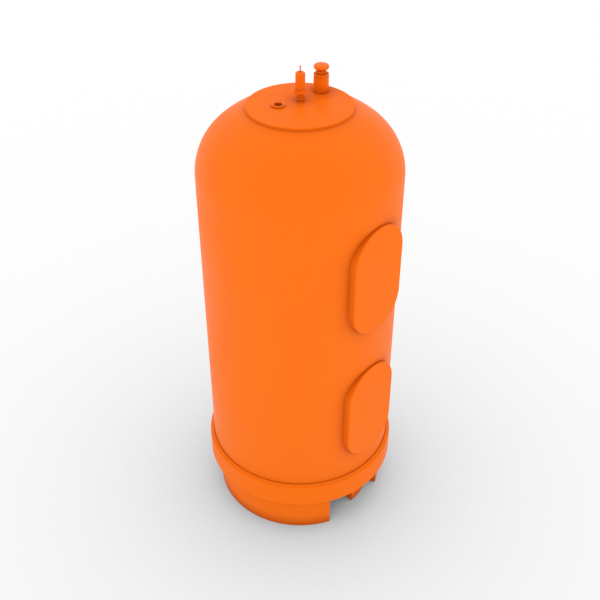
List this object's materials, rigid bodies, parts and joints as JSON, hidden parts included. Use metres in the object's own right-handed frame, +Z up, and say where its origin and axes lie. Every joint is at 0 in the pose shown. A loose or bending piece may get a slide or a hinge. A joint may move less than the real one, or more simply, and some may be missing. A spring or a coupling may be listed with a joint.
{
  "type": "tank water heater",
  "caption": "Floor-standing electric storage water heater: domed cylindrical jacket, flanged base on a foot ring, oval access covers, top relief valve and cold inlet valve.",
  "frame": {"origin": "on the floor under the tank's axis, at the middle of the bounding box's base", "axes": "+Z up along the tank's axis, -Y towards the access covers and the drain opening, +X to the right when facing +Y"},
  "size_m": [0.628, 0.628, 1.5125],
  "materials": {
    "jacket": "satin",
    "jacket_trim": "satin",
    "coated_metal": "satin",
    "brass": "satin",
    "steel": "satin",
    "zinc_steel": "satin",
    "copper": "satin",
    "foam": "matte",
    "glass_fibre": "satin",
    "liner_plastic": "satin",
    "well_plastic": "matte",
    "control_plastic": "satin",
    "dial_plastic": "satin",
    "red_plastic": "gloss",
    "blue_plastic": "satin",
    "white_plastic": "satin",
    "black_rubber": "matte",
    "wire_black": "satin",
    "wire_blue": "satin",
    "wire_red": "satin",
    "lever_plastic": "satin"
  },
  "bodies": {
    "heater": {"outer_shell": "jacket", "top_cap": "jacket_trim", "base_bowl": "jacket_trim", "foot_ring": "jacket_trim", "base_screws": "zinc_steel", "foam_insulation": "foam", "tank_liner": "liner_plastic", "tank_winding": "glass_fibre", "hot_outlet_spud": "coated_metal", "relief_valve_spud": "brass", "cold_inlet_spud": "brass", "drain_spud": "brass", "hot_heat_trap": "blue_plastic", "dip_tube": "white_plastic", "relief_valve_body": "coated_metal", "relief_valve_bonnet": "coated_metal", "relief_valve_spring": "steel", "relief_valve_probe": "copper", "cold_valve_body": "coated_metal", "cold_valve_packing_nut": "coated_metal", "upper_well": "well_plastic", "lower_well": "well_plastic", "upper_element_boss": "brass", "lower_element_boss": "brass", "upper_element_gasket": "black_rubber", "lower_element_gasket": "black_rubber", "upper_element_plug": "zinc_steel", "lower_element_plug": "zinc_steel", "upper_element_sheath": "steel", "lower_element_sheath": "steel", "upper_element_terminals": "control_plastic", "lower_element_terminals": "control_plastic", "upper_thermostat": "control_plastic", "lower_thermostat": "control_plastic", "high_limit_switch": "control_plastic", "upper_thermostat_bracket": "zinc_steel", "lower_thermostat_bracket": "zinc_steel", "thermostat_screws": "brass", "supply_conduit": "zinc_steel", "supply_gland": "jacket_trim", "supply_wires": "wire_black", "link_conduit": "zinc_steel", "link_wires": "wire_blue", "element_wires": "wire_red", "drain_drop_pipe": "brass", "drain_elbow": "brass", "drain_pipe": "brass", "drain_valve_body": "brass", "drain_valve_seats": "white_plastic"},
    "relief_stem": {"relief_valve_stem": "coated_metal"},
    "cold_knob": {"cold_valve_knob": "coated_metal", "cold_valve_spindle": "brass"},
    "cold_washer": {"cold_valve_washer": "black_rubber"},
    "upper_dial": {"upper_temperature_dial": "dial_plastic"},
    "lower_dial": {"lower_temperature_dial": "dial_plastic"},
    "reset": {"reset_button": "red_plastic"},
    "drain_lever": {"drain_valve_lever": "lever_plastic", "drain_valve_ball": "steel"},
    "upper_cover": {"upper_access_cover": "jacket_trim"},
    "lower_cover": {"lower_access_cover": "jacket_trim"}
  },
  "joints": [
    {"name": "relief_stem_lift", "type": "slide", "parent": "heater", "child": "relief_stem", "axis": [0, 0, 1], "range_m": [0, 0.005], "stiffness_N_per_m": 1500, "springref_m": -0.004, "deforming": ["relief_valve_spring"]},
    {"name": "cold_knob_turn", "type": "hinge", "parent": "heater", "child": "cold_knob", "pos_m": [0.107, 0.02, 1.484], "axis": [0, 0, 1], "range_deg": [0, 900]},
    {"name": "cold_washer_lift", "type": "slide", "parent": "heater", "child": "cold_washer", "axis": [0, 0, 1], "range_m": [0, 0.005]},
    {"name": "upper_dial_turn", "type": "hinge", "parent": "heater", "child": "upper_dial", "pos_m": [0, -0.27, 1.018], "axis": [0, -1, 0], "range_deg": [-120, 120]},
    {"name": "lower_dial_turn", "type": "hinge", "parent": "heater", "child": "lower_dial", "pos_m": [0, -0.27, 0.508], "axis": [0, -1, 0], "range_deg": [-120, 120]},
    {"name": "reset_press", "type": "slide", "parent": "heater", "child": "reset", "axis": [0, 1, 0], "range_m": [0, 0.0025], "stiffness_N_per_m": 500, "springref_m": -0.001},
    {"name": "drain_lever_turn", "type": "hinge", "parent": "heater", "child": "drain_lever", "pos_m": [-0.04017, -0.17751, 0.1], "axis": [0, 0, 1], "range_deg": [-90, 0]},
    {"name": "upper_cover_off", "type": "slide", "parent": "heater", "child": "upper_cover", "axis": [0, -1, 0], "range_m": [0, 0.12]},
    {"name": "lower_cover_off", "type": "slide", "parent": "heater", "child": "lower_cover", "axis": [0, -1, 0], "range_m": [0, 0.12]}
  ],
  "couplings": [
    {"joint": "cold_washer_lift", "follows": "cold_knob_turn", "m_per_rad": 0.00031831}
  ]
}
